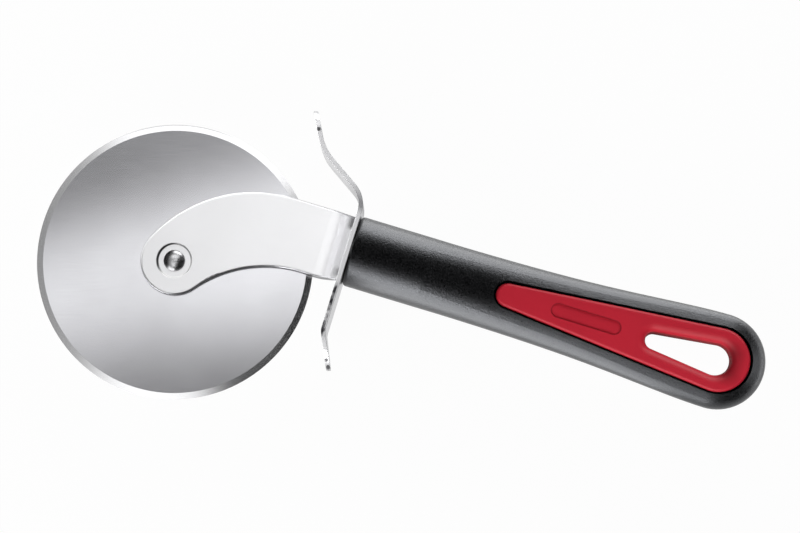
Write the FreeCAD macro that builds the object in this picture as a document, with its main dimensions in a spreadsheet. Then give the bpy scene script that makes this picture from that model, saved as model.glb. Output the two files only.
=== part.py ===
# Pizza cutter: a bevelled wheel on a riveted axle between two stamped fork arms,
# a bent finger guard, and a moulded grip with a contrasting inlay and a hanging slot.
# Millimetres. The tool lies flat: X runs along the grip, Z is the wheel's axle.
import FreeCAD, Part
import math
import os
import Sketcher

doc = FreeCAD.newDocument("pizza_cutter")


# Driving sizes

SIZES = [
    # Cutting wheel
    ("wheel_diameter", "75"),
    ("wheel_thickness", "1.0"),
    ("bevel_width", "1.7"),
    ("edge_land", "0.12"),
    # Axle: rivet, spacer bush and the two washers beside the wheel
    ("rivet_shank_diameter", "4.0"),
    ("rivet_head_diameter", "5.8"),
    ("rivet_head_height", "1.5"),
    ("rivet_head_rim", "0.3"),
    ("clinch_diameter", "5.6"),
    ("clinch_height", "0.9"),
    ("rivet_hollow_diameter", "2.4"),
    ("rivet_hollow_depth", "2.2"),
    ("bush_diameter", "6.0"),
    ("washer_diameter", "13"),
    ("washer_thickness", "0.4"),
    # Fork arms, pressed from sheet
    ("arm_thickness", "1.2"),
    ("arm_end_radius", "9.2"),
    ("arm_root_height", "18.75"),
    ("arm_root_drop", "0.375"),
    ("arm_top_tangent", "26"),
    ("arm_bottom_tangent", "33.5"),
    ("arm_edge_round", "0.6"),
    ("dimple_diameter", "9.6"),
    ("dimple_floor_diameter", "8.9"),
    ("dimple_depth", "0.8"),
    ("dimple_wall_spread", "0.5"),
    ("arm_bend_radius", "6.0"),
    ("arm_bend_angle", "24"),
    ("foot_round", "0.9"),
    ("foot_rise", "0.9"),
    ("tang_height", "9.4"),
    ("tang_length", "34"),
    ("tang_corner", "2.5"),
    # Finger guard, a bent strip; lengths run along its middle line
    ("axle_to_guard", "43.8"),
    ("axis_offset", "16.8"),
    ("guard_thickness", "1.2"),
    ("guard_width", "18"),
    ("guard_upper_root", "9.8"),
    ("guard_upper_bend_radius", "7.5"),
    ("guard_upper_bend_angle", "57"),
    ("guard_wing_length", "9.4"),
    ("guard_flare_radius", "14"),
    ("guard_flare_angle", "29"),
    ("guard_flare_length", "7.4"),
    ("guard_tip_corner", "4.6"),
    ("guard_lower_root", "22.8"),
    ("guard_lower_bend_radius", "4"),
    ("guard_lower_bend_angle", "24"),
    ("guard_lower_length", "9.3"),
    # Grip
    ("neck_diameter", "19.46"),
    ("neck_length", "21"),
    ("neck_edge_radius", "1.2"),
    ("grip_length", "82.2"),
    ("tail_width", "26.2"),
    ("tail_thickness", "14.4"),
    ("section_blend_angle", "34"),
    # Inlay: two drop-shaped leaves joined by a core round the hanging slot
    ("leaf_tail_radius", "8.7"),
    ("leaf_nose_radius", "3.3"),
    ("leaf_length", "59.15"),
    ("leaf_depth", "2.4"),
    ("leaf_slope", "2.5"),
    ("leaf_edge_round", "1.0"),
    ("inlay_tail_thickness", "10.4"),
    ("core_wall", "2.0"),
    ("slot_tail_radius", "4.3"),
    ("slot_nose_radius", "2.35"),
    ("slot_length", "17.1"),
    ("slot_setback", "0.9"),
    ("slot_rim_round", "2.6"),
    # Clearances
    ("running_clearance", "0.05"),
    ("wheel_side_clearance", "0.1"),
    ("fit_clearance", "0.05"),
    ("inlay_gap", "0.6"),
    ("cut_overrun", "3"),
]

# Between the round neck and the wide tail the grip passes through these stations:
# the share of the grip's length, of the growth in width, and of the loss in thickness.
STATION_SHARES = [
    (0.0, 0.0, 0.0),
    (0.22, 0.03, 0.50),
    (0.46, 0.18, 0.71),
    (0.72, 0.565, 0.88),
    (0.89, 0.885, 0.96),
    (1.0, 1.0, 1.0),
]

dims = doc.addObject("Spreadsheet::Sheet", "dims")
for row, (alias, text) in enumerate(SIZES, start=1):
    dims.set(f"A{row}", alias)
    dims.set(f"B{row}", text)
    dims.setAlias(f"B{row}", alias)
doc.recompute()


# Sizes worked out from the driving ones

DERIVED = [
    ("wheel_radius", "dims.wheel_diameter / 2"),
    ("wheel_bore_radius", "dims.bush_diameter / 2 + dims.running_clearance"),
    # Heights above the wheel's middle plane
    ("washer_inner", "dims.wheel_thickness / 2 + dims.wheel_side_clearance"),
    ("boss_face", "washer_inner + dims.washer_thickness"),
    ("arm_inner", "boss_face + dims.dimple_depth"),
    ("arm_outer", "arm_inner + dims.arm_thickness"),
    ("dimple_floor", "boss_face + dims.arm_thickness"),
    # Outline of an arm: straight root, one arc above, one below, and a round end
    ("arm_root_middle", "dims.axis_offset - dims.arm_root_drop"),
    ("arm_top", "arm_root_middle + dims.arm_root_height / 2"),
    ("arm_bottom", "arm_root_middle - dims.arm_root_height / 2"),
    ("arm_top_radius",
     "(dims.arm_top_tangent ^ 2 + arm_top ^ 2 - dims.arm_end_radius ^ 2)"
     " / (2 * (arm_top - dims.arm_end_radius))"),
    ("arm_top_share", "dims.arm_end_radius / (arm_top_radius - dims.arm_end_radius)"),
    ("arm_top_touch_x", "-dims.arm_top_tangent * arm_top_share"),
    ("arm_top_touch_y", "(arm_top_radius - arm_top) * arm_top_share"),
    ("arm_bottom_radius",
     "(dims.arm_bottom_tangent ^ 2 + arm_bottom ^ 2 - dims.arm_end_radius ^ 2)"
     " / (2 * (arm_bottom + dims.arm_end_radius))"),
    ("arm_bottom_share", "dims.arm_end_radius / (arm_bottom_radius + dims.arm_end_radius)"),
    ("arm_bottom_touch_x", "dims.arm_bottom_tangent * arm_bottom_share"),
    ("arm_bottom_touch_y", "(arm_bottom - arm_bottom_radius) * arm_bottom_share"),
    # Joggle that brings the two arms together at the guard
    ("bend_outer_radius", "dims.arm_bend_radius + dims.arm_thickness"),
    ("bend_middle_radius", "dims.arm_bend_radius + dims.arm_thickness / 2"),
    ("bend_sine", "sin(dims.arm_bend_angle)"),
    ("bend_cosine", "cos(dims.arm_bend_angle)"),
    ("slope_length",
     "(arm_inner - 2 * bend_middle_radius * (1 - bend_cosine)) / bend_sine"),
    ("bend_start",
     "dims.axle_to_guard - 2 * bend_middle_radius * bend_sine - slope_length * bend_cosine"),
    ("slope_top_x", "bend_start + bend_outer_radius * bend_sine"),
    ("slope_top_z", "arm_outer - bend_outer_radius * (1 - bend_cosine)"),
    ("level_top", "dims.arm_thickness + dims.arm_bend_radius"),
    ("foot_reach", "sqrt(dims.arm_bend_radius ^ 2 + 2 * dims.arm_bend_radius * dims.foot_round)"),
    ("foot_share", "dims.arm_bend_radius / (dims.arm_bend_radius + dims.foot_round)"),
    ("foot_sweep_radius",
     "((dims.axle_to_guard - bend_start) ^ 2 + dims.foot_rise ^ 2) / (2 * dims.foot_rise)"),
    # Finger guard, from the middle of its root, front face at zero
    ("guard_middle", "dims.guard_thickness / 2"),
    ("wing_sine", "sin(dims.guard_upper_bend_angle)"),
    ("wing_cosine", "cos(dims.guard_upper_bend_angle)"),
    ("flare_sine", "sin(dims.guard_upper_bend_angle - dims.guard_flare_angle)"),
    ("flare_cosine", "cos(dims.guard_upper_bend_angle - dims.guard_flare_angle)"),
    ("flare_centre_x",
     "guard_middle - dims.guard_upper_bend_radius - dims.guard_wing_length * wing_sine"
     " + (dims.guard_upper_bend_radius + dims.guard_flare_radius) * wing_cosine"),
    ("flare_centre_y",
     "dims.guard_upper_root + dims.guard_wing_length * wing_cosine"
     " + (dims.guard_upper_bend_radius + dims.guard_flare_radius) * wing_sine"),
    ("guard_top",
     "flare_centre_y - (dims.guard_flare_radius - dims.guard_thickness / 2) * flare_sine"
     " + dims.guard_flare_length * flare_cosine"),
    ("tip_sine", "sin(dims.guard_lower_bend_angle)"),
    ("tip_cosine", "cos(dims.guard_lower_bend_angle)"),
    ("guard_foot",
     "-dims.guard_lower_root"
     " - (dims.guard_lower_bend_radius + dims.guard_thickness / 2) * tip_sine"
     " - dims.guard_lower_length * tip_cosine"),
    # Grip and inlay, from the middle of the grip's front face
    ("neck_radius", "dims.neck_diameter / 2"),
    ("tail_centre", "dims.neck_length + dims.grip_length"),
    ("leaf_floor", "dims.inlay_tail_thickness / 2 - dims.leaf_depth"),
    ("slope_tangent", "tan(dims.leaf_slope)"),
    ("slot_tail_centre", "tail_centre - dims.slot_setback"),
    ("core_nose", "dims.slot_setback + dims.slot_length + dims.slot_nose_radius + dims.core_wall"),
    ("core_half",
     "(leaf_floor + dims.inlay_tail_thickness / 2 + slope_tangent"
     " * (core_nose + dims.slot_setback - dims.slot_tail_radius - dims.core_wall)) / 2"),
    # The whole tool, measured from the axle, to centre its box on the origin
    ("handle_front", "dims.axle_to_guard + dims.guard_thickness"),
    ("far_end", "handle_front + tail_centre + dims.tail_width / 2"),
    ("top_end", "max(dims.axis_offset + guard_top; wheel_radius)"),
    ("middle_x", "(far_end - wheel_radius) / 2"),
    ("middle_y", "(top_end - wheel_radius) / 2"),
    ("half_depth", "max(neck_radius; dims.guard_width / 2)"),
]

derived = doc.addObject("Spreadsheet::Sheet", "derived")
for row, (alias, formula) in enumerate(DERIVED, start=1):
    derived.set(f"A{row}", alias)
    derived.set(f"B{row}", "=" + formula)
    derived.setAlias(f"B{row}", alias)
    derived.recompute()
doc.recompute()


# Sketching

def new_body(label, x, y):
    """A body placed by its own reference point, given from the axle in the wheel's plane."""
    body = doc.addObject("PartDesign::Body", label)
    body.Label = label
    body.setExpression("Placement.Base.x", f"{x} - derived.middle_x")
    body.setExpression("Placement.Base.y", f"{y} - derived.middle_y")
    body.setExpression("Placement.Base.z", "derived.half_depth")
    return body


def plane(body, role):
    return next(item for item in body.Origin.OriginFeatures if item.Role == role)


def new_sketch(body, name, role, offset=None):
    """An empty sketch on one of the body's planes, moved along that plane's normal."""
    sketch = body.newObject("Sketcher::SketchObject", name)
    sketch.AttachmentSupport = (plane(body, role), [""])
    sketch.MapMode = "FlatFace"
    if offset:
        sketch.setExpression("AttachmentOffset.Base.z", offset)
    return sketch


def bind(sketch, kind, where, expression):
    """One dimension of a sketch, driven by an expression."""
    number = float(sketch.evalExpression(expression))
    index = sketch.addConstraint(Sketcher.Constraint(kind, *where, number))
    sketch.setExpression(f"Constraints[{index}]", expression)


def hold(sketch, curve, end, x, y):
    """Pins a point of a curve at x, y from the sketch's origin."""
    for kind, axis, expression in (("DistanceX", -2, x), ("DistanceY", -1, y)):
        if expression == "0":
            sketch.addConstraint(Sketcher.Constraint("PointOnObject", curve, end, axis))
        else:
            bind(sketch, kind, (-1, 1, curve, end), expression)


def loop(sketch, corners, radii=None):
    """A closed outline through corners. radii gives, for the edge that leaves a corner,
    the radius of an arc: an arc that turns left, or one that turns right with a minus."""
    radii = radii or {}
    points = []
    for x, y in corners:
        spot = [float(sketch.evalExpression(value)) for value in (x, y)]
        points.append(FreeCAD.Vector(*spot, 0))
    ends = []
    for index, start in enumerate(points):
        finish = points[(index + 1) % len(points)]
        if index not in radii:
            curve = sketch.addGeometry(Part.LineSegment(start, finish))
            ends.append((curve, 1, 2))
            continue
        left = not radii[index].startswith("-")
        radius = float(sketch.evalExpression(radii[index].lstrip("-")))
        chord = finish - start
        rise = math.sqrt(max(radius ** 2 - (chord.Length / 2) ** 2, 0))
        across = FreeCAD.Vector(-chord.y, chord.x, 0).normalize()
        centre = (start + finish) / 2 + across * (rise if left else -rise)
        first, last = (start, finish) if left else (finish, start)
        angles = [math.atan2(p.y - centre.y, p.x - centre.x) for p in (first, last)]
        circle = Part.Circle(centre, FreeCAD.Vector(0, 0, 1), radius)
        curve = sketch.addGeometry(Part.ArcOfCircle(circle, *angles))
        ends.append((curve, 1, 2) if left else (curve, 2, 1))
    for index, (curve, begin, end) in enumerate(ends):
        after, after_begin, _ = ends[(index + 1) % len(ends)]
        sketch.addConstraint(Sketcher.Constraint("Coincident", curve, end, after, after_begin))
        hold(sketch, curve, begin, *corners[index])
        if index in radii:
            bind(sketch, "Radius", (curve,), radii[index].lstrip("-"))


def disc(sketch, radius):
    """A full circle about the sketch's origin."""
    size = float(sketch.evalExpression(radius))
    circle = Part.Circle(FreeCAD.Vector(0, 0, 0), FreeCAD.Vector(0, 0, 1), size)
    curve = sketch.addGeometry(circle)
    sketch.addConstraint(Sketcher.Constraint("Coincident", curve, 3, -1, 1))
    bind(sketch, "Radius", (curve,), radius)


def drop(sketch, tail_x, tail_radius, nose_radius, length):
    """A drop: a large arc about tail_x and a small one before it, joined by tangents."""
    sine = f"(({tail_radius}) - ({nose_radius})) / ({length})"
    cosine = f"sqrt(1 - ({sine}) ^ 2)"
    nose_x = f"({tail_x}) - ({length})"
    tail_touch = f"({tail_x}) - ({tail_radius}) * {sine}"
    nose_touch = f"({nose_x}) - ({nose_radius}) * {sine}"
    tail_half = f"({tail_radius}) * {cosine}"
    nose_half = f"({nose_radius}) * {cosine}"
    loop(sketch, [
        (nose_touch, f"-{nose_half}"),
        (tail_touch, f"-{tail_half}"),
        (f"({tail_x}) + ({tail_radius})", "0"),
        (tail_touch, tail_half),
        (nose_touch, nose_half),
        (f"({nose_x}) - ({nose_radius})", "0"),
    ], {1: tail_radius, 2: tail_radius, 4: nose_radius, 5: nose_radius})


def rectangle(sketch, left, right, low, high):
    loop(sketch, [(left, low), (right, low), (right, high), (left, high)])


# Features

def pad(body, sketch, length, both_ways=False):
    feature = body.newObject("PartDesign::Pad", sketch.Name + "Pad")
    feature.Profile = sketch
    feature.SideType = "Symmetric" if both_ways else "One side"
    feature.setExpression("Length", length)
    doc.recompute()
    return feature


def cut_through(body, sketch):
    """Cuts a sketch's outline out of the body, both ways from the sketch."""
    return checked_cut(body, sketch, SideType="Symmetric", Type="ThroughAll")


def checked_cut(body, sketch, length=None, **settings):
    before = body.Shape.Volume
    feature = body.newObject("PartDesign::Pocket", sketch.Name + "Cut")
    feature.Profile = sketch
    for name, value in settings.items():
        setattr(feature, name, value)
    if length:
        feature.setExpression("Length", length)
    doc.recompute()
    if not body.Shape.Volume < before:
        raise RuntimeError(f"{sketch.Name} cuts nothing from {body.Label}")
    return feature


def revolve(body, sketch, axis, kind="PartDesign::Revolution", angle=360.0, reverse=False):
    before = body.Shape.Volume if body.Tip else 0
    feature = body.newObject(kind, sketch.Name + "Turn")
    feature.Profile = sketch
    feature.ReferenceAxis = (sketch, [axis])
    feature.Angle = angle
    feature.Reversed = reverse
    doc.recompute()
    if kind == "PartDesign::Groove" and not body.Shape.Volume < before:
        raise RuntimeError(f"{sketch.Name} cuts nothing from {body.Label}")
    return feature


def mirror(body, feature):
    """Repeats a feature on the other side of the tool's middle plane."""
    copy = body.newObject("PartDesign::Mirrored", feature.Name + "Mirrored")
    copy.Originals = [feature]
    copy.MirrorPlane = (plane(body, "XY_Plane"), [""])
    body.Tip = copy
    doc.recompute()
    return copy


def ring(label, inner, outer, low, high):
    """A plain turned ring about the axle."""
    body = new_body(label, "0", "0")
    section = new_sketch(body, label + "_section", "XZ_Plane")
    rectangle(section, inner, outer, low, high)
    revolve(body, section, "V_Axis")
    return body


# Cutting wheel: a flat disc, ground from both sides to a narrow edge

wheel = new_body("cutting_wheel", "0", "0")
section = new_sketch(wheel, "wheel_section", "XZ_Plane")
ground = "derived.wheel_radius - dims.bevel_width"
loop(section, [
    ("derived.wheel_bore_radius", "-dims.wheel_thickness / 2"),
    (ground, "-dims.wheel_thickness / 2"),
    ("derived.wheel_radius", "-dims.edge_land / 2"),
    ("derived.wheel_radius", "dims.edge_land / 2"),
    (ground, "dims.wheel_thickness / 2"),
    ("derived.wheel_bore_radius", "dims.wheel_thickness / 2"),
])
revolve(wheel, section, "V_Axis")


# Axle bush and washers: the bush keeps the arms apart so that the wheel turns freely

shank_hole = "dims.rivet_shank_diameter / 2 + dims.fit_clearance"
washer_bore = "dims.bush_diameter / 2 + dims.fit_clearance"
washer_edge = "dims.washer_diameter / 2"
bush = ring("axle_bush", shank_hole, "dims.bush_diameter / 2",
            "-derived.boss_face", "derived.boss_face")
front_washer = ring("front_washer", washer_bore, washer_edge,
                    "derived.washer_inner", "derived.boss_face")
rear_washer = ring("rear_washer", washer_bore, washer_edge,
                   "-derived.boss_face", "-derived.washer_inner")


# Axle rivet: a domed head in the front dimple, a rolled tubular end in the rear one

rivet = new_body("axle_rivet", "0", "0")
section = new_sketch(rivet, "rivet_section", "XZ_Plane")
head_edge = "dims.rivet_head_diameter / 2"
dome_rise = "(dims.rivet_head_height - dims.rivet_head_rim)"
dome_radius = f"(({head_edge}) ^ 2 + {dome_rise} ^ 2) / (2 * {dome_rise})"
roll_edge = "dims.clinch_diameter / 2"
hollow = "dims.rivet_hollow_diameter / 2"
roll_end = "-derived.dimple_floor - dims.clinch_height"
loop(section, [
    ("0", "dims.rivet_hollow_depth - derived.dimple_floor - dims.clinch_height"),
    (hollow, "dims.rivet_hollow_depth - derived.dimple_floor - dims.clinch_height"),
    (hollow, roll_end),
    (f"{roll_edge} - dims.clinch_height / 2", roll_end),
    (roll_edge, "-derived.dimple_floor - dims.clinch_height / 2"),
    (roll_edge, "-derived.dimple_floor"),
    ("dims.rivet_shank_diameter / 2", "-derived.dimple_floor"),
    ("dims.rivet_shank_diameter / 2", "derived.dimple_floor"),
    (head_edge, "derived.dimple_floor"),
    (head_edge, "derived.dimple_floor + dims.rivet_head_rim"),
    ("0", "derived.dimple_floor + dims.rivet_head_height"),
], {3: "dims.clinch_height / 2", 9: dome_radius})
revolve(rivet, section, "V_Axis")


# Front arm: flat stamped outline with a dimple at the axle, a joggle, and a tang

arm = new_body("front_arm", "0", "0")
flat = new_sketch(arm, "arm_outline", "XY_Plane", "derived.arm_inner")
loop(flat, [
    ("derived.bend_start", "derived.arm_bottom"),
    ("derived.bend_start", "derived.arm_top"),
    ("dims.arm_top_tangent", "derived.arm_top"),
    ("derived.arm_top_touch_x", "derived.arm_top_touch_y"),
    ("0", "-dims.arm_end_radius"),
    ("derived.arm_bottom_touch_x", "derived.arm_bottom_touch_y"),
    ("dims.arm_bottom_tangent", "derived.arm_bottom"),
], {
    2: "derived.arm_top_radius",
    3: "dims.arm_end_radius",
    4: "dims.arm_end_radius",
    5: "-derived.arm_bottom_radius",
})
pad(arm, flat, "dims.arm_thickness")

# The full height of the arm swings inwards and level again; its two feet end rounded against the guard
upper_bend = ("derived.slope_top_x", "derived.slope_top_z")
inner_bend = ("derived.bend_start + dims.arm_bend_radius * derived.bend_sine",
              "derived.arm_inner - dims.arm_bend_radius * (1 - derived.bend_cosine)")
under_bend = ("dims.axle_to_guard - derived.bend_outer_radius * derived.bend_sine",
              "derived.bend_outer_radius * (1 - derived.bend_cosine)")
upper_level = ("dims.axle_to_guard - dims.arm_bend_radius * derived.bend_sine",
               "derived.level_top - dims.arm_bend_radius * derived.bend_cosine")
feet = new_sketch(arm, "arm_feet", "XZ_Plane", "-derived.arm_root_middle")
loop(feet, [
    ("derived.bend_start", "derived.arm_inner"),
    inner_bend,
    under_bend,
    ("dims.axle_to_guard", "0"),
    ("dims.axle_to_guard", "derived.level_top - derived.foot_reach"),
    ("dims.axle_to_guard - dims.foot_round * derived.foot_share",
     "derived.level_top - derived.foot_reach * derived.foot_share"),
    upper_level,
    upper_bend,
    ("derived.bend_start", "derived.arm_outer"),
], {
    0: "-dims.arm_bend_radius",
    2: "derived.bend_outer_radius",
    4: "dims.foot_round",
    5: "-dims.arm_bend_radius",
    7: "derived.bend_outer_radius",
})
pad(arm, feet, "dims.arm_root_height", both_ways=True)

# Towards the guard the lower edge sweeps up, and the pressing rounds the whole outer rim
sweep = new_sketch(arm, "arm_sweep", "XY_Plane")
loop(sweep, [
    ("derived.bend_start", "derived.arm_bottom"),
    ("derived.bend_start", "derived.arm_bottom - dims.cut_overrun"),
    ("dims.axle_to_guard", "derived.arm_bottom - dims.cut_overrun"),
    ("dims.axle_to_guard", "derived.arm_bottom + dims.foot_rise"),
], {3: "-derived.foot_sweep_radius"})
swept = cut_through(arm, sweep)
outer_face = max(swept.Shape.Faces, key=lambda face: face.CenterOfMass.z)
rim = []
for edge in outer_face.OuterWire.Edges:
    if edge.CenterOfMass.x < float(derived.bend_start) - float(dims.arm_edge_round):
        rim += [f"Edge{i}" for i, other in enumerate(swept.Shape.Edges, 1) if other.isSame(edge)]
outer_rim = arm.newObject("PartDesign::Fillet", "arm_rim")
outer_rim.Base = (swept, rim)
outer_rim.setExpression("Radius", "dims.arm_edge_round")
doc.recompute()

# The tongue between the feet runs on level, through the guard
tongue = new_sketch(arm, "arm_tongue", "XZ_Plane", "-dims.axis_offset")
loop(tongue, [
    ("derived.bend_start", "derived.arm_inner"),
    inner_bend,
    under_bend,
    ("dims.axle_to_guard", "0"),
    ("dims.axle_to_guard", "dims.arm_thickness"),
    upper_level,
    upper_bend,
    ("derived.bend_start", "derived.arm_outer"),
], {
    0: "-dims.arm_bend_radius",
    2: "derived.bend_outer_radius",
    4: "-dims.arm_bend_radius",
    6: "derived.bend_outer_radius",
})
pad(arm, tongue, "dims.tang_height", both_ways=True)

# Tang with clipped corners, buried in the grip
tang = new_sketch(arm, "arm_tang", "XY_Plane")
tang_low = "dims.axis_offset - dims.tang_height / 2"
tang_high = "dims.axis_offset + dims.tang_height / 2"
tang_end = "derived.handle_front + dims.tang_length"
loop(tang, [
    ("dims.axle_to_guard", tang_low),
    (f"{tang_end} - dims.tang_corner", tang_low),
    (tang_end, f"{tang_low} + dims.tang_corner"),
    (tang_end, f"{tang_high} - dims.tang_corner"),
    (f"{tang_end} - dims.tang_corner", tang_high),
    ("dims.axle_to_guard", tang_high),
])
pad(arm, tang, "dims.arm_thickness")

# Pressed dimple: pushed out towards the wheel, hollow on the outside, holed for the rivet
boss = new_sketch(arm, "arm_boss", "XZ_Plane")
loop(boss, [
    ("0", "derived.boss_face"),
    ("dims.dimple_floor_diameter / 2 + dims.dimple_wall_spread", "derived.boss_face"),
    ("dims.dimple_diameter / 2 + dims.dimple_wall_spread", "derived.arm_inner"),
    ("0", "derived.arm_inner"),
])
revolve(arm, boss, "V_Axis")
dish = new_sketch(arm, "arm_dish", "XZ_Plane")
loop(dish, [
    ("0", "derived.dimple_floor"),
    ("dims.dimple_floor_diameter / 2", "derived.dimple_floor"),
    ("dims.dimple_diameter / 2", "derived.arm_outer"),
    ("0", "derived.arm_outer"),
])
revolve(arm, dish, "V_Axis", kind="PartDesign::Groove")
hole = new_sketch(arm, "arm_hole", "XY_Plane")
disc(hole, shank_hole)
cut_through(arm, hole)

# Rear arm: the same pressing, turned over
rear_arm = doc.addObject("Part::Mirroring", "rear_arm")
rear_arm.Label = "rear_arm"
rear_arm.Source = arm
rear_arm.Normal = FreeCAD.Vector(0, 0, 1)
rear_arm.setExpression("Base.z", "derived.half_depth")


# Finger guard: one strip, bent forward over the wheel above and back below

guard = new_body("finger_guard", "dims.axle_to_guard", "dims.axis_offset")
strip = new_sketch(guard, "guard_strip", "XY_Plane")
half = "dims.guard_thickness / 2"


def wing_point(side, along):
    """A point of the upper wing: after its bend, or at the end of its straight."""
    reach = f"(dims.guard_upper_bend_radius {side} {half})"
    return (f"derived.guard_middle - dims.guard_upper_bend_radius"
            f" + {reach} * derived.wing_cosine - {along} * derived.wing_sine",
            f"dims.guard_upper_root + {reach} * derived.wing_sine + {along} * derived.wing_cosine")


def flare_point(side, along):
    """A point of the flared tip: after its bend, or at its end."""
    reach = f"(dims.guard_flare_radius {side} {half})"
    return (f"derived.flare_centre_x - {reach} * derived.flare_cosine"
            f" - {along} * derived.flare_sine",
            f"derived.flare_centre_y - {reach} * derived.flare_sine"
            f" + {along} * derived.flare_cosine")


def tip_point(side, along):
    """A point of the lower tip: after its bend, or at its end."""
    reach = f"(dims.guard_lower_bend_radius {side} {half})"
    return (f"derived.guard_middle + dims.guard_lower_bend_radius"
            f" - {reach} * derived.tip_cosine + {along} * derived.tip_sine",
            f"-dims.guard_lower_root - {reach} * derived.tip_sine - {along} * derived.tip_cosine")


loop(strip, [
    tip_point("+", "dims.guard_lower_length"),
    tip_point("-", "dims.guard_lower_length"),
    tip_point("-", "0"),
    ("dims.guard_thickness", "-dims.guard_lower_root"),
    ("dims.guard_thickness", "dims.guard_upper_root"),
    wing_point("+", "0"),
    wing_point("+", "dims.guard_wing_length"),
    flare_point("-", "0"),
    flare_point("-", "dims.guard_flare_length"),
    flare_point("+", "dims.guard_flare_length"),
    flare_point("+", "0"),
    wing_point("-", "dims.guard_wing_length"),
    wing_point("-", "0"),
    ("0", "dims.guard_upper_root"),
    ("0", "-dims.guard_lower_root"),
    tip_point("+", "0"),
], {
    2: f"-(dims.guard_lower_bend_radius - {half})",
    4: f"dims.guard_upper_bend_radius + {half}",
    6: f"-(dims.guard_flare_radius - {half})",
    10: f"dims.guard_flare_radius + {half}",
    12: f"-(dims.guard_upper_bend_radius - {half})",
    14: f"dims.guard_lower_bend_radius + {half}",
})
pad(guard, strip, "dims.guard_width", both_ways=True)

# The lower end is rounded to the full width of the strip, the upper one at its corners
ends = new_sketch(guard, "guard_ends", "YZ_Plane")
guard_half = "dims.guard_width / 2"
rectangle(ends, "derived.guard_foot - dims.cut_overrun", "derived.guard_top + dims.cut_overrun",
          f"-{guard_half} - dims.cut_overrun", f"{guard_half} + dims.cut_overrun")
tip_corner = "dims.guard_tip_corner"
loop(ends, [
    (f"derived.guard_foot + {guard_half}", f"-{guard_half}"),
    (f"derived.guard_top - {tip_corner}", f"-{guard_half}"),
    ("derived.guard_top", f"{tip_corner} - {guard_half}"),
    ("derived.guard_top", f"{guard_half} - {tip_corner}"),
    (f"derived.guard_top - {tip_corner}", guard_half),
    (f"derived.guard_foot + {guard_half}", guard_half),
    ("derived.guard_foot", "0"),
], {1: tip_corner, 3: tip_corner, 5: guard_half, 6: guard_half})
cut_through(guard, ends)

# The two tangs pass through one slot in its root
tang_slot_half = "dims.tang_height / 2 + dims.fit_clearance"
tang_slot_depth = "dims.arm_thickness + dims.fit_clearance"
tang_slot = new_sketch(guard, "guard_slot", "YZ_Plane")
rectangle(tang_slot, f"-({tang_slot_half})", tang_slot_half,
          f"-({tang_slot_depth})", tang_slot_depth)
cut_through(guard, tang_slot)


# Handle: a round neck that flattens and widens into the tail

handle = new_body("handle", "derived.handle_front", "dims.axis_offset")
neck = new_sketch(handle, "neck_section", "XY_Plane")
loop(neck, [
    ("0", "0"),
    ("dims.neck_length", "0"),
    ("dims.neck_length", "derived.neck_radius"),
    ("dims.neck_edge_radius", "derived.neck_radius"),
    ("0", "derived.neck_radius - dims.neck_edge_radius"),
], {3: "dims.neck_edge_radius"})
revolve(handle, neck, "H_Axis")


def oval(width_share, depth_share):
    """Half sizes of a section, and its four tangent arcs: two crowns and two sides."""
    wide = f"(derived.neck_radius + {width_share} * (dims.tail_width / 2 - derived.neck_radius))"
    deep = f"(derived.neck_radius + {depth_share} * (dims.tail_thickness / 2 - derived.neck_radius))"
    sine = "sin(dims.section_blend_angle)"
    cosine = "cos(dims.section_blend_angle)"
    spread = f"(({wide} - {deep}) / ({sine} + {cosine} - 1))"
    crown = f"({deep} + {spread} * {cosine})"
    side = f"({wide} - {spread} * {sine})"
    corner = (f"{crown} * {sine}", f"{side} * {cosine}")
    return deep, crown, side, corner


stations = []
for number, (along, width_share, depth_share) in enumerate(STATION_SHARES):
    deep, crown, side, (across, rise) = oval(width_share, depth_share)
    station = new_sketch(handle, f"grip_station_{number}", "YZ_Plane",
                         f"dims.neck_length + {along} * dims.grip_length")
    loop(station, [
        (across, rise),
        (f"-{across}", rise),
        (f"-{across}", f"-{rise}"),
        (across, f"-{rise}"),
    ], {0: crown, 1: side, 2: crown, 3: side})
    stations.append(station)
doc.recompute()
grip = handle.newObject("PartDesign::AdditiveLoft", "grip_loft")
grip.Profile = stations[0]
grip.Sections = stations[1:]
doc.recompute()

# The rounded tail is the last section turned half a turn
deep, crown, side, (across, rise) = oval(*STATION_SHARES[-1][1:])
tail = new_sketch(handle, "tail_section", "YZ_Plane", "derived.tail_centre")
loop(tail, [
    ("0", f"-{deep}"),
    (across, f"-{rise}"),
    (across, rise),
    ("0", deep),
], {0: crown, 1: side, 2: crown})
revolve(handle, tail, "V_Axis", angle=180.0, reverse=True)


def leaf_plane(body, name):
    """A sketch on the sloping floor under a leaf, with its origin at the tail's centre."""
    sketch = new_sketch(body, name, "XY_Plane", "derived.leaf_floor")
    sketch.AttachmentOffset = FreeCAD.Placement(
        FreeCAD.Vector(0, 0, 0), FreeCAD.Rotation(FreeCAD.Vector(0, 1, 0), float(dims.leaf_slope)))
    sketch.setExpression("AttachmentOffset.Base.x", "derived.tail_centre")
    sketch.setExpression("AttachmentOffset.Rotation.Angle", "dims.leaf_slope")
    doc.recompute()
    return sketch


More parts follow.
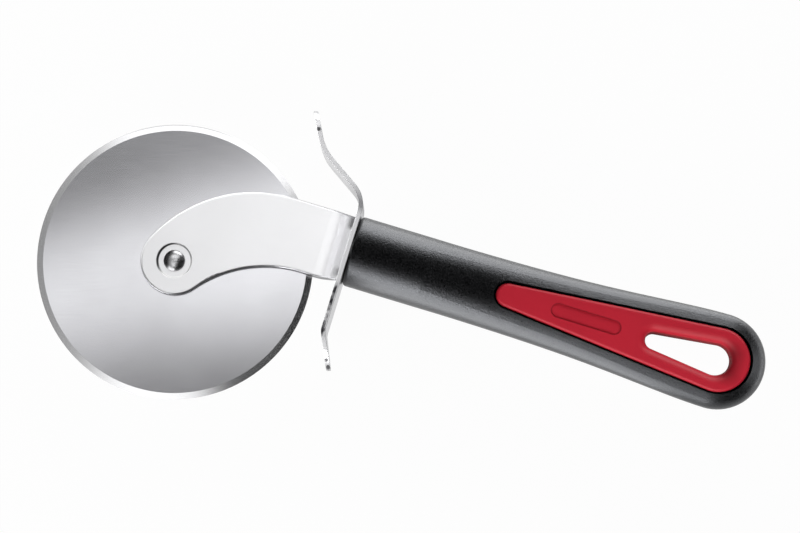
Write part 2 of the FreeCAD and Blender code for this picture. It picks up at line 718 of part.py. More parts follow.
# Pockets for the leaves on both faces, the core's hole, and the tangs' socket
leaf_pocket = leaf_plane(handle, "leaf_pocket")
drop(leaf_pocket, "0", "dims.leaf_tail_radius + dims.inlay_gap",
     "dims.leaf_nose_radius + dims.inlay_gap", "dims.leaf_length")
mirror(handle, checked_cut(handle, leaf_pocket, Type="ThroughAll", Reversed=True))
core_hole = new_sketch(handle, "core_hole", "XY_Plane")
drop(core_hole, "derived.slot_tail_centre",
     "dims.slot_tail_radius + dims.core_wall + dims.fit_clearance",
     "dims.slot_nose_radius + dims.core_wall + dims.fit_clearance", "dims.slot_length")
cut_through(handle, core_hole)
socket = new_sketch(handle, "tang_socket", "YZ_Plane")
rectangle(socket, f"-({tang_slot_half})", tang_slot_half,
          f"-({tang_slot_depth})", tang_slot_depth)
checked_cut(handle, socket, "dims.tang_length + dims.fit_clearance", Reversed=True)


# Inlay: front and rear leaves with a core between them, and the hanging slot through all

inlay = new_body("handle_inlay", "derived.handle_front", "dims.axis_offset")
core = new_sketch(inlay, "inlay_core", "XY_Plane")
drop(core, "derived.slot_tail_centre", "dims.slot_tail_radius + dims.core_wall",
     "dims.slot_nose_radius + dims.core_wall", "dims.slot_length")
pad(inlay, core, "2 * derived.core_half", both_ways=True)
leaf = leaf_plane(inlay, "inlay_leaf")
drop(leaf, "0", "dims.leaf_tail_radius", "dims.leaf_nose_radius", "dims.leaf_length")
mirror(inlay, pad(inlay, leaf, "dims.leaf_depth"))
slot = new_sketch(inlay, "hanging_slot", "XY_Plane")
drop(slot, "derived.slot_tail_centre", "dims.slot_tail_radius", "dims.slot_nose_radius",
     "dims.slot_length")
cut_through(inlay, slot)


def round_leaf_edges(outer, name, radius):
    """Rounds the outer rim of both leaves, or the rim of the slot in them."""
    shape = inlay.Tip.Shape
    base = inlay.Tip
    tilt = math.cos(math.radians(float(dims.leaf_slope)))
    picked = []
    for face in shape.Faces:
        if abs(abs(face.normalAt(0, 0).z) - tilt) > 1e-6 or len(face.Wires) < 2:
            continue
        if abs(face.CenterOfMass.z) < float(derived.core_half):
            continue
        wires = [face.OuterWire] if outer else [w for w in face.Wires if not w.isSame(face.OuterWire)]
        for wire in wires:
            for edge in wire.Edges:
                picked += [f"Edge{i}" for i, other in enumerate(shape.Edges, 1) if other.isSame(edge)]
    feature = inlay.newObject("PartDesign::Fillet", name)
    feature.Base = (base, picked)
    feature.setExpression("Radius", radius)
    doc.recompute()


round_leaf_edges(True, "leaf_edges", "dims.leaf_edge_round")
round_leaf_edges(False, "slot_rims", "dims.slot_rim_round")


# Check everything, then write one file for each piece

doc.recompute()
pieces = [wheel, bush, front_washer, rear_washer, rivet, arm, rear_arm, guard, handle, inlay]
for item in doc.Objects:
    if "Invalid" in item.State or "Error" in item.State:
        raise RuntimeError(f"{item.Name} failed: {item.State}")
for piece in pieces:
    shape = piece.Shape
    if shape.isNull() or not shape.isValid() or len(shape.Solids) != 1:
        raise RuntimeError(f"{piece.Label} is not one valid solid")
os.makedirs("parts", exist_ok=True)
for piece in pieces:
    piece.Shape.exportStep(f"parts/{piece.Label}.step")
    box = piece.Shape.BoundBox
    print(f"{piece.Label}: {piece.Shape.Volume:.1f} mm3,"
          f" x {box.XMin:.2f} to {box.XMax:.2f}, y {box.YMin:.2f} to {box.YMax:.2f},"
          f" z {box.ZMin:.2f} to {box.ZMax:.2f}")
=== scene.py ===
import math

import bpy
from mathutils import Matrix, Vector


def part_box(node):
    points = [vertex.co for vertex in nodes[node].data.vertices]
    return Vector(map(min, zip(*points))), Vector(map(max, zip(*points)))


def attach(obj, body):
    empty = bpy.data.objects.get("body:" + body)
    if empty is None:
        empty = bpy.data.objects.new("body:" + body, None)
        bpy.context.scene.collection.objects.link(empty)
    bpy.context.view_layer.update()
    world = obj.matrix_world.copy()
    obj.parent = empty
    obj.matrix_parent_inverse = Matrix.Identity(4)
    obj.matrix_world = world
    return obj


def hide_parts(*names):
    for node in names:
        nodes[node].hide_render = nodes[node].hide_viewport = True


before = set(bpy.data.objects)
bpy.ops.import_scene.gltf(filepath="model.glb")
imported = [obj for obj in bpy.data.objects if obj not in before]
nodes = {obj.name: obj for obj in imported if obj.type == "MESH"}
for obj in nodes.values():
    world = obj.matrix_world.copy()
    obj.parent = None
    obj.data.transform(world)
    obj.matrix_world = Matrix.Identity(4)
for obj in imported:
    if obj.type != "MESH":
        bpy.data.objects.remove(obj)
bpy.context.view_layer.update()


# Cutting wheel
# A flat disc of stainless sheet, rolled bright and stamped out, with a bevel ground on both faces.
# It turns on the axle bush, so everything that is drawn on it turns with it.
wheel_low, wheel_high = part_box("cutting_wheel")
axle_place = (wheel_low + wheel_high) / 2
wheel_radius = (wheel_high.x - wheel_low.x) / 2
bevel_start = wheel_radius - 0.0017
bevel_blend = 0.00004
edge_line_start = wheel_radius - 0.00028
edge_line_full = wheel_radius - 0.00020
edge_line_turn = math.radians(105)
edge_line_dimming = 0.60
brush_turn = math.radians(-17)
flat_colour = (0.52, 0.52, 0.54)
bevel_colour = (0.64, 0.64, 0.65)
scratch_depth = 0.018


def add_node(tree, kind, settings=None, values=None):
    node = tree.nodes.new(kind)
    for name, value in (settings or {}).items():
        setattr(node, name, value)
    for name, value in (values or {}).items():
        node.inputs[name].default_value = value
    return node


def new_finish(name):
    finish = bpy.data.materials.new(name)
    finish.use_nodes = True
    tree = finish.node_tree
    surface = tree.nodes["Principled BSDF"]
    place = add_node(tree, "ShaderNodeTexCoord").outputs["Object"]
    return finish, tree, surface, place


def give_finish(finish, *node_names):
    for node_name in node_names:
        mesh = nodes[node_name].data
        mesh.materials.clear()
        mesh.materials.append(finish)


def feed(tree, socket, value):
    if isinstance(value, bpy.types.NodeSocket):
        tree.links.new(value, socket)
    else:
        socket.default_value = value


def span(tree, source, from_low, from_high, to_low, to_high):
    node = add_node(tree, "ShaderNodeMapRange", values={1: from_low, 2: from_high, 3: to_low, 4: to_high})
    tree.links.new(source, node.inputs[0])
    return node.outputs[0]


def combine(tree, operation, first, second):
    node = add_node(tree, "ShaderNodeMath", {"operation": operation})
    feed(tree, node.inputs[0], first)
    feed(tree, node.inputs[1], second)
    return node.outputs[0]


def mix_colours(tree, share, first, second):
    node = add_node(tree, "ShaderNodeMix", {"data_type": "RGBA"})
    feed(tree, node.inputs[0], share)
    feed(tree, node.inputs[6], first)
    feed(tree, node.inputs[7], second)
    return node.outputs[2]


def mix_values(tree, share, first, second):
    node = add_node(tree, "ShaderNodeMix", {"data_type": "FLOAT"})
    feed(tree, node.inputs[0], share)
    feed(tree, node.inputs[2], first)
    feed(tree, node.inputs[3], second)
    return node.outputs[0]


def shade(tree, colour, level):
    node = add_node(tree, "ShaderNodeVectorMath", {"operation": "SCALE"})
    feed(tree, node.inputs[0], colour)
    feed(tree, node.inputs["Scale"], level)
    return node.outputs[0]


def noise(tree, place, values):
    node = add_node(tree, "ShaderNodeTexNoise", values=values)
    tree.links.new(place, node.inputs["Vector"])
    return node.outputs["Fac"]


def away_from(tree, place, middle):
    node = add_node(tree, "ShaderNodeMapping", values={"Location": -Vector(middle)})
    tree.links.new(place, node.inputs["Vector"])
    return node.outputs[0]


def flattened(tree, vector):
    node = add_node(tree, "ShaderNodeVectorMath", {"operation": "MULTIPLY"}, {1: (1, 1, 0)})
    tree.links.new(vector, node.inputs[0])
    return node.outputs[0]


def length_of(tree, vector):
    node = add_node(tree, "ShaderNodeVectorMath", {"operation": "LENGTH"})
    tree.links.new(vector, node.inputs[0])
    return node.outputs["Value"]


# Rolled and brushed steel: fine streaks along one direction, soft smudges from handling
# and a few thin scratches.
steel_grain = bpy.data.node_groups.new("steel_grain", "ShaderNodeTree")
for socket_name, kind, value in (
    ("Place", "NodeSocketVector", (0, 0, 0)),
    ("Lines", "NodeSocketVector", (60, 6000, 60)),
    ("Smudge size", "NodeSocketFloat", 55),
):
    socket = steel_grain.interface.new_socket(socket_name, in_out="INPUT", socket_type=kind)
    socket.default_value = value
for socket_name in ("Streak", "Smudge", "Scratch"):
    steel_grain.interface.new_socket(socket_name, in_out="OUTPUT", socket_type="NodeSocketFloat")
grain_in = add_node(steel_grain, "NodeGroupInput").outputs
grain_out = add_node(steel_grain, "NodeGroupOutput").inputs
along_lines = add_node(steel_grain, "ShaderNodeVectorMath", {"operation": "MULTIPLY"})
steel_grain.links.new(grain_in["Place"], along_lines.inputs[0])
steel_grain.links.new(grain_in["Lines"], along_lines.inputs[1])
streaks = noise(steel_grain, along_lines.outputs[0], {"Scale": 1, "Detail": 3, "Roughness": 0.6})
steel_grain.links.new(streaks, grain_out["Streak"])
smudges = add_node(steel_grain, "ShaderNodeTexNoise", values={"Detail": 3, "Roughness": 0.5})
steel_grain.links.new(grain_in["Place"], smudges.inputs["Vector"])
steel_grain.links.new(grain_in["Smudge size"], smudges.inputs["Scale"])
steel_grain.links.new(smudges.outputs["Fac"], grain_out["Smudge"])
scratches = noise(steel_grain, along_lines.outputs[0], {"Scale": 0.35, "Detail": 1, "Distortion": 0.2})
steel_grain.links.new(span(steel_grain, scratches, 0.70, 0.74, 0, 1), grain_out["Scratch"])


def grain_on(tree, place, lines, smudge_size):
    sizes = {"Lines": lines, "Smudge size": smudge_size}
    node = add_node(tree, "ShaderNodeGroup", {"node_tree": steel_grain}, sizes)
    tree.links.new(place, node.inputs["Place"])
    return node.outputs


wheel_steel, tree, surface, place = new_finish("wheel_steel")
surface.inputs["Metallic"].default_value = 1
wheel_place = away_from(tree, place, axle_place)
in_plane = flattened(tree, wheel_place)
distance_out = length_of(tree, in_plane)
on_bevel = span(tree, distance_out, bevel_start - bevel_blend, bevel_start + bevel_blend, 0, 1)
brush_place = add_node(tree, "ShaderNodeMapping", values={"Rotation": (0, 0, brush_turn)})
tree.links.new(wheel_place, brush_place.inputs["Vector"])
grain = grain_on(tree, brush_place.outputs[0], (120, 5200, 120), 60)
ground_lines = add_node(tree, "ShaderNodeTexNoise", {"noise_dimensions": "1D"}, {"Scale": 9000, "Detail": 2})
tree.links.new(distance_out, ground_lines.inputs["W"])
ground_lines = ground_lines.outputs["Fac"]
flat_shade = shade(tree, flat_colour, span(tree, grain["Smudge"], 0.35, 0.65, 0.97, 1.02))
bevel_shade = shade(tree, bevel_colour, span(tree, ground_lines, 0.3, 0.7, 0.95, 1.02))
# A thin darker line is painted along the very edge on one side only, as painted shade.
edge_line_way = (math.cos(edge_line_turn), math.sin(edge_line_turn), 0)
edge_line_side = add_node(tree, "ShaderNodeVectorMath", {"operation": "DOT_PRODUCT"}, {1: edge_line_way})
tree.links.new(in_plane, edge_line_side.inputs[0])
edge_line_reach = span(tree, edge_line_side.outputs["Value"], 0.90 * wheel_radius, 0.965 * wheel_radius, 0, 1)
at_edge = span(tree, distance_out, edge_line_start, edge_line_full, 0, 1)
edge_line_shade = combine(tree, "MULTIPLY", at_edge, edge_line_reach)
bevel_shade = shade(tree, bevel_shade, span(tree, edge_line_shade, 0, 1, 1, edge_line_dimming))
tree.links.new(mix_colours(tree, on_bevel, flat_shade, bevel_shade), surface.inputs["Base Color"])
flat_gloss = span(tree, grain["Streak"], 0.3, 0.7, 0.168, 0.192)
bevel_gloss = span(tree, ground_lines, 0.3, 0.7, 0.20, 0.26)
gloss = mix_values(tree, on_bevel, flat_gloss, bevel_gloss)
scratched = combine(tree, "MULTIPLY", grain["Scratch"], scratch_depth)
tree.links.new(combine(tree, "ADD", gloss, scratched), surface.inputs["Roughness"])
give_finish(wheel_steel, "cutting_wheel")


# Axle: bush, washers and rivet
# A turned steel tube keeps the arms apart, a thin plastic washer sits on each side of the wheel,
# and a bright steel rivet holds the fork together with a domed head at the front.
rivet_colour = (0.46, 0.46, 0.47)
washer_dark = (0.70, 0.70, 0.67, 1)
washer_pale = (0.80, 0.80, 0.78, 1)
axle_steel, tree, surface, place = new_finish("axle_steel")
surface.inputs["Metallic"].default_value = 1
grain = grain_on(tree, place, (900, 900, 900), 300)
rivet_shade = shade(tree, rivet_colour, span(tree, grain["Smudge"], 0.3, 0.7, 0.92, 1.03))
tree.links.new(rivet_shade, surface.inputs["Base Color"])
tree.links.new(span(tree, grain["Streak"], 0.3, 0.7, 0.24, 0.32), surface.inputs["Roughness"])
give_finish(axle_steel, "axle_rivet", "axle_bush")

washer_plastic, tree, surface, place = new_finish("washer_plastic")
surface.inputs["Roughness"].default_value = 0.5
washer_cloud = noise(tree, place, {"Scale": 500, "Detail": 3})
tree.links.new(mix_colours(tree, washer_cloud, washer_dark, washer_pale), surface.inputs["Base Color"])
give_finish(washer_plastic, "front_washer", "rear_washer")


# Fork arms
# Both are stamped from satin stainless sheet, bent over a die and tumbled, so their edges are
# a little broken. Their tangs pass through the guard's slot into the grip, which holds all three.
edge_break = 0.0002
dimple_radius = 0.0048
wall_width = 0.0004
wall_blend = 0.0002
foot_end = 0.0438
foot_shade_start = foot_end - 0.0022
foot_shade_full = foot_end - 0.0010
foot_shade_blend = 0.0006
arm_colour = (0.70, 0.70, 0.71)
wall_painted_light = (0.74, 0.74, 0.74, 1)
wall_painted_shade = (0.05, 0.05, 0.052, 1)
painted_shade_colour = (0.03, 0.03, 0.032, 1)


def axes_of(tree, vector):
    node = add_node(tree, "ShaderNodeSeparateXYZ")
    tree.links.new(vector, node.inputs[0])
    return node.outputs


def facing_axes(tree):
    return axes_of(tree, add_node(tree, "ShaderNodeTexCoord").outputs["Normal"])


def broken_edges(tree, surface, size):
    edges = add_node(tree, "ShaderNodeBevel", {"samples": 8}, {"Radius": size})
    tree.links.new(edges.outputs["Normal"], surface.inputs["Normal"])


sheet_steel, tree, surface, place = new_finish("sheet_steel")
surface.inputs["Metallic"].default_value = 1
grain = grain_on(tree, place, (150, 4200, 4200), 60)
arm_shade = shade(tree, arm_colour, span(tree, grain["Smudge"], 0.35, 0.65, 0.98, 1.01))
around = flattened(tree, away_from(tree, place, axle_place))
distance_out = length_of(tree, around)
# Painted shade and light on the dimple's wall: dark on its left side, a little lighter than the arm
# elsewhere.
wall_inside = dimple_radius - wall_width
wall_inner = span(tree, distance_out, wall_inside - wall_blend, wall_inside, 0, 1)
wall_outer = span(tree, distance_out, dimple_radius, dimple_radius + wall_blend, 1, 0)
spot = axes_of(tree, around)
wall_shaded_left = span(tree, spot["X"], -dimple_radius * 0.85, -dimple_radius * 0.4, 1, 0)
wall_painted_colour = mix_colours(tree, wall_shaded_left, wall_painted_light, wall_painted_shade)
on_wall = combine(tree, "MULTIPLY", wall_inner, wall_outer)
arm_shade = mix_colours(tree, on_wall, arm_shade, wall_painted_colour)


# Painted shade: dark strokes on the tops and bottoms of the feet next to the guard.
def foot_shade(low, high, depth):
    along = span(tree, spot["X"], foot_shade_start, foot_shade_full, 0, depth)
    above = span(tree, spot["Y"], low - foot_shade_blend, low + foot_shade_blend, 0, 1)
    below = span(tree, spot["Y"], high - foot_shade_blend, high + foot_shade_blend, 1, 0)
    return combine(tree, "MULTIPLY", along, combine(tree, "MULTIPLY", above, below))


upper_foot_shade = foot_shade(0.0224, 0.0256, 0.75)
lower_foot_shade = foot_shade(0.0088, 0.0112, 0.5)
foot_shades = combine(tree, "MAXIMUM", upper_foot_shade, lower_foot_shade)
# Painted shade on the rounded rim where it faces down and towards the grip, as a dark line under the arm.
facing = facing_axes(tree)
on_rim = span(tree, combine(tree, "ABSOLUTE", facing["Z"], 0), 0.5, 0.92, 1, 0)
facing_grip = span(tree, facing["X"], 0.05, 0.4, 0, 0.88)
facing_down = span(tree, facing["Y"], -0.5, -0.2, 1, 0)
shaded_rim_side = combine(tree, "MULTIPLY", facing_grip, facing_down)
painted_shade = combine(tree, "MAXIMUM", foot_shades, combine(tree, "MULTIPLY", on_rim, shaded_rim_side))
tree.links.new(mix_colours(tree, painted_shade, arm_shade, painted_shade_colour), surface.inputs["Base Color"])
tree.links.new(span(tree, grain["Streak"], 0.3, 0.7, 0.33, 0.43), surface.inputs["Roughness"])
broken_edges(tree, surface, edge_break)
give_finish(sheet_steel, "front_arm", "rear_arm")


# Finger guard
# A strip of the same sheet, bent over the wheel above and back below. Its long edges are a little darker
# than its faces, with dark patches painted on them as painted dark reflection, and its root is painted
# darker beside the grip as painted shade.
guard_front = axle_place.x + foot_end
patch_low = axle_place.y - 0.009
patch_high = axle_place.y + 0.0065
patch_blend = 0.001
patch_depth = 0.0007
patch_depth_end = 0.0010
dark_reflection_spots = (
    (0.0273, 0.0449, 0.0006),
    (0.0442, -0.0067, 0.0008),
    (0.0475, -0.0140, 0.0005),
    (0.0484, -0.0156, 0.0006),
)
root_low = axle_place.y + 0.026
root_low_full = axle_place.y + 0.028
root_high = axle_place.y + 0.0295
root_high_end = axle_place.y + 0.034
guard_colour = (0.58, 0.58, 0.59)
guard_edge_colour = (0.52, 0.52, 0.53, 1)
guard_root_shade_colour = (0.10, 0.10, 0.105, 1)
dark_reflection_colour = (0.03, 0.03, 0.033, 1)
guard_steel, tree, surface, place = new_finish("guard_steel")
surface.inputs["Metallic"].default_value = 1
grain = grain_on(tree, place, (4200, 4200, 150), 80)
facing_up = combine(tree, "ABSOLUTE", facing_axes(tree)["Z"], 0)
on_edge = span(tree, facing_up, 0.80, 0.95, 0, 1)
spot = axes_of(tree, place)
# Painted dark reflection: dark patches on the front edge of the root below the arms, and at a few listed
# spots.
above_low = span(tree, spot["Y"], patch_low - patch_blend, patch_low + patch_blend, 0, 1)
below_high = span(tree, spot["Y"], patch_high - patch_blend, patch_high + patch_blend, 1, 0)
on_root = combine(tree, "MULTIPLY", above_low, below_high)
on_front = span(tree, spot["X"], guard_front + patch_depth, guard_front + patch_depth_end, 1, 0)
patch_noise = noise(tree, place, {"Scale": 300, "Detail": 3, "Roughness": 0.6})
dark_reflection = combine(tree, "MULTIPLY", span(tree, patch_noise, 0.40, 0.62, 1, 0), on_edge)
dark_reflection = combine(tree, "MULTIPLY", dark_reflection, combine(tree, "MULTIPLY", on_root, on_front))
for spot_x, spot_y, spot_size in dark_reflection_spots:
    spot_middle = (axle_place.x + spot_x, axle_place.y + spot_y, 0)
    reach = length_of(tree, flattened(tree, away_from(tree, place, spot_middle)))
    dark_reflection_spot = span(tree, reach, spot_size * 0.7, spot_size * 1.2, 0.9, 0)
    dark_reflection = combine(tree, "MAXIMUM", dark_reflection, dark_reflection_spot)
# Painted shade on the guard's root just above the arm, beside the grip's neck.
above_root = span(tree, spot["Y"], root_low, root_low_full, 0, 1)
below_root = span(tree, spot["Y"], root_high, root_high_end, 0.7, 0)
upper_root_shade = combine(tree, "MULTIPLY", above_root, below_root)
guard_shade = shade(tree, guard_colour, span(tree, grain["Smudge"], 0.35, 0.65, 0.95, 1.02))
guard_shade = mix_colours(tree, on_edge, guard_shade, guard_edge_colour)
guard_shade = mix_colours(tree, upper_root_shade, guard_shade, guard_root_shade_colour)
tree.links.new(mix_colours(tree, dark_reflection, guard_shade, dark_reflection_colour), surface.inputs["Base Color"])
tree.links.new(span(tree, grain["Streak"], 0.3, 0.7, 0.30, 0.40), surface.inputs["Roughness"])
broken_edges(tree, surface, edge_break)
give_finish(guard_steel, "finger_guard")


# Handle
# The grip is moulded in dark grey plastic with a fine spark-eroded grain, round at the neck
# and flat at the tail. A pocket on each side takes the red inlay.
grip_dark = (0.0004, 0.0004, 0.0005, 1)
grip_pale = (0.0120, 0.0122, 0.0130, 1)
grain_height = 0.0001
grip_plastic, tree, surface, place = new_finish("grip_plastic")
surface.inputs["Specular IOR Level"].default_value = 0.6
surface.inputs["Specular Tint"].default_value = (0.92, 0.945, 1, 1)
grip_grain = noise(tree, place, {"Scale": 3000, "Detail": 2})
grip_speckle = span(tree, grip_grain, 0.48, 0.64, 0, 1)
tree.links.new(mix_colours(tree, grip_speckle, grip_dark, grip_pale), surface.inputs["Base Color"])
tree.links.new(span(tree, grip_grain, 0.3, 0.7, 0.26, 0.46), surface.inputs["Roughness"])


def grained(tree, surface, grain, strength):
    bump = add_node(tree, "ShaderNodeBump", values={"Strength": strength, "Distance": grain_height})
    tree.links.new(grain, bump.inputs["Height"])
    tree.links.new(bump.outputs["Normal"], surface.inputs["Normal"])


grained(tree, surface, grip_grain, 0.65)
give_finish(grip_plastic, "handle")


# Inlay
# One red satin moulding: a leaf on each face of the grip, joined by the core round the hanging slot.
# Its front leaf has a shallow long recess with round ends near the nose.
inlay_low, inlay_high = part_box("handle_inlay")
handle_low, handle_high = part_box("handle")
leaf_slope = math.radians(2.5)
leaf_edge = 0.001
recess_length = 0.0194
recess_width = 0.0038
recess_depth = 0.0003
recess_x = 0.0492
recess_y = (handle_low.y + handle_high.y) / 2
half_straight = (recess_length - recess_width) / 2
cutter_height = 0.002
cutter_middle = 0.00001
weld_distance = 0.000002
slot_tail_x = 0.0853
leaf_colour = (0.62, 0.019, 0.040)
recess_corner_shade_colour = (0.08, 0.003, 0.005, 1)
slot_shadow_colour = (0.10, 0.003, 0.006, 1)
slot_wall_shade_colour = (0.30, 0.010, 0.016, 1)
leaf_top = inlay_high.z - (recess_x - inlay_low.x - leaf_edge) * math.tan(leaf_slope)

bpy.ops.object.select_all(action="DESELECT")
inlay = nodes["handle_inlay"].copy()
inlay.data = inlay.data.copy()
inlay.parent = None
inlay.name = "red_inlay"
bpy.context.scene.collection.objects.link(inlay)
bpy.context.view_layer.objects.active = inlay
inlay.select_set(True)
bpy.ops.mesh.customdata_custom_splitnormals_clear()
bpy.ops.object.mode_set(mode="EDIT")
bpy.ops.mesh.select_all(action="SELECT")
bpy.ops.mesh.remove_doubles(threshold=weld_distance)
bpy.ops.mesh.normals_make_consistent(inside=False)
bpy.ops.object.mode_set(mode="OBJECT")

bpy.ops.object.select_all(action="DESELECT")
bpy.ops.mesh.primitive_cylinder_add(
    vertices=64, radius=recess_width / 2, depth=cutter_height, location=(0, 0, 0)
)
recess_tool = bpy.context.object
for side in (-1, 1):
    bpy.ops.object.mode_set(mode="EDIT")
    bpy.ops.mesh.select_all(action="DESELECT")
    bpy.ops.object.mode_set(mode="OBJECT")
    for vertex in recess_tool.data.vertices:
        vertex.select = vertex.co.x * side > cutter_middle
    bpy.ops.object.mode_set(mode="EDIT")
    bpy.ops.transform.translate(value=(side * half_straight, 0, 0))
    bpy.ops.object.mode_set(mode="OBJECT")
recess_tool.rotation_euler = (0, leaf_slope, 0)
recess_tool.location = (recess_x, recess_y, leaf_top + cutter_height / 2 - recess_depth)
bpy.context.view_layer.objects.active = inlay
recess_cut = inlay.modifiers.new("recess", "BOOLEAN")
recess_cut.operation = "DIFFERENCE"
recess_cut.solver = "EXACT"
recess_cut.object = recess_tool
bpy.ops.object.modifier_apply(modifier="recess")
bpy.data.objects.remove(recess_tool)
bpy.ops.object.select_all(action="DESELECT")
inlay.select_set(True)
bpy.context.view_layer.objects.active = inlay
bpy.ops.object.shade_smooth_by_angle(angle=math.radians(30))

inlay_plastic, tree, surface, place = new_finish("inlay_plastic")
surface.inputs["Specular IOR Level"].default_value = 0.28
inlay_grain = noise(tree, place, {"Scale": 3200, "Detail": 2})
inlay_cloud = noise(tree, place, {"Scale": 60, "Detail": 2})
facing_up = combine(tree, "ABSOLUTE", facing_axes(tree)["Z"], 0)
on_wall = span(tree, facing_up, 0.05, 0.35, 1, 0)
leaf_shade = shade(tree, leaf_colour, span(tree, inlay_cloud, 0.3, 0.7, 0.97, 1.03))
# A darker line painted in the corner of the recess as painted shade, measured from the line between its two
# end centres.
recess_spot = axes_of(tree, away_from(tree, place, (recess_x, recess_y, 0)))
past_straight = combine(tree, "ABSOLUTE", recess_spot["X"], 0)
past_straight = combine(tree, "SUBTRACT", past_straight, half_straight)
from_spine = add_node(tree, "ShaderNodeCombineXYZ")
tree.links.new(combine(tree, "MAXIMUM", past_straight, 0), from_spine.inputs["X"])
tree.links.new(recess_spot["Y"], from_spine.inputs["Y"])
from_rim = combine(tree, "SUBTRACT", length_of(tree, from_spine.outputs[0]), recess_width / 2)
in_corner = span(tree, combine(tree, "ABSOLUTE", from_rim, 0), 0.00008, 0.00024, 0.4, 0)
leaf_shade = mix_colours(tree, in_corner, leaf_shade, recess_corner_shade_colour)
# The hollow beyond the slot's tail lies in shadow.
slot_spot = axes_of(tree, away_from(tree, place, (slot_tail_x, recess_y, 0)))
fading_out = span(tree, slot_spot["X"], 0.0045, 0.0085, 0.7, 0)
fading_in = span(tree, slot_spot["X"], 0, 0.0035, 0, 1)
past_slot = combine(tree, "MULTIPLY", fading_out, fading_in)
beside_slot = span(tree, combine(tree, "ABSOLUTE", slot_spot["Y"], 0), 0.003, 0.0065, 1, 0)
slot_shadow = combine(tree, "MULTIPLY", past_slot, beside_slot)
leaf_shade = mix_colours(tree, slot_shadow, leaf_shade, slot_shadow_colour)
# Painted shade: the inlay's steep walls, in the slot and round its edges, are given a darker red.
tree.links.new(mix_colours(tree, on_wall, leaf_shade, slot_wall_shade_colour), surface.inputs["Base Color"])
leaf_gloss = span(tree, inlay_grain, 0.3, 0.7, 0.48, 0.56)
wall_gloss = combine(tree, "MULTIPLY", on_wall, 0.35)
tree.links.new(combine(tree, "ADD", leaf_gloss, wall_gloss), surface.inputs["Roughness"])
grained(tree, surface, inlay_grain, 0.08)
inlay.data.materials.clear()
inlay.data.materials.append(inlay_plastic)
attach(inlay, "frame")
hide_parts("handle_inlay")


# Floor
# A wide pale sheet under the cutter, as in a product studio. Its own light keeps it white where
# the camera or a mirror sees it, and a small share of it takes the cutter's soft shadow.
floor_size = 8
floor_colour = (0.93, 0.93, 0.93, 1)
own_light_share = 0.97
bpy.ops.object.select_all(action="DESELECT")
bpy.ops.mesh.primitive_plane_add(size=floor_size, location=(0, 0, 0))
floor = bpy.context.object
floor.name = "floor"
pale_sheet, tree, surface, place = new_finish("pale_sheet")
surface.inputs["Base Color"].default_value = floor_colour
surface.inputs["Roughness"].default_value = 0.9
surface.inputs["Specular IOR Level"].default_value = 0
own_light = add_node(tree, "ShaderNodeEmission", values={"Strength": 1})
floor_mix = add_node(tree, "ShaderNodeMixShader")
ray = add_node(tree, "ShaderNodeLightPath").outputs
seen = combine(tree, "MAXIMUM", ray["Is Camera Ray"], ray["Is Glossy Ray"])
seen = combine(tree, "MAXIMUM", seen, ray["Is Transmission Ray"])
tree.links.new(span(tree, seen, 0, 1, 0, own_light_share), floor_mix.inputs[0])
tree.links.new(surface.outputs[0], floor_mix.inputs[1])
tree.links.new(own_light.outputs[0], floor_mix.inputs[2])
tree.links.new(floor_mix.outputs[0], tree.nodes["Material Output"].inputs["Surface"])
floor.data.materials.append(pale_sheet)


# Studio light
# A white tent stands round the cutter, brighter towards the horizon than overhead.
# The camera sees it as plain white.
tent_low = 0.02
tent_high = 0.0025
studio = bpy.data.worlds.new("studio")
studio.use_nodes = True
bpy.context.scene.world = studio
tree = studio.node_tree
tent = tree.nodes["Background"]
tent.inputs["Color"].default_value = (1, 1, 1, 1)
tent_height = axes_of(tree, add_node(tree, "ShaderNodeTexCoord").outputs["Generated"])["Z"]
tent_level = span(tree, tent_height, 0.1, 0.8, tent_low, tent_high)
ray = add_node(tree, "ShaderNodeLightPath").outputs
tree.links.new(mix_values(tree, ray["Is Camera Ray"], tent_level, 1), tent.inputs["Strength"])


# Soft boxes
# Each lights only the pieces that it names, as if the others were flagged off from it.
# A table glow is light that comes up from the table beside the grip.
def lit_pieces(name, pieces):
    lit = bpy.data.collections.new(name)
    for piece in pieces:
        lit.objects.link(piece)
    return lit


def soft_box(name, spot, aim, width, length, level, lit):
    lamp = bpy.data.lights.new(name, "AREA")
    lamp.shape = "RECTANGLE"
    lamp.size = width
    lamp.size_y = length
    lamp.energy = level * math.pi * width * length
    box = bpy.data.objects.new(name, lamp)
    bpy.context.scene.collection.objects.link(box)
    box.location = spot
    box.rotation_euler = (Vector(aim) - Vector(spot)).to_track_quat("-Z", "Y").to_euler()
    box.visible_camera = False
    box.light_linking.receiver_collection = lit


steel_names = ("cutting_wheel", "axle_bush", "front_washer", "rear_washer", "finger_guard")
steel = lit_pieces("steel", [nodes[name] for name in steel_names] + [floor])
soft_box("side_light_far", (-0.15, 0.62, 0.13), (-0.15, 0.01, 0.01), 0.70, 0.25, 9, steel)
soft_box("side_light_near", (-0.265, -0.60, 0.18), (-0.265, 0.01, 0.01), 0.55, 0.35, 7.5, steel)
soft_box("end_light_left", (-0.85, 0, 0.25), (-0.06, 0, 0.01), 2.6, 0.5, 1.5, steel)
soft_box("end_light_right", (0.85, 0, 0.25), (-0.06, 0, 0.01), 2.6, 0.5, 0.8, steel)

rivet = lit_pieces("rivet", [nodes["axle_rivet"]])
soft_box("rivet_light_far", (-0.05, 0.62, 0.16), (-0.06, 0, 0.015), 0.60, 0.30, 3.5, rivet)
soft_box("rivet_light_near", (-0.15, -0.60, 0.22), (-0.06, 0, 0.015), 0.50, 0.30, 2.8, rivet)

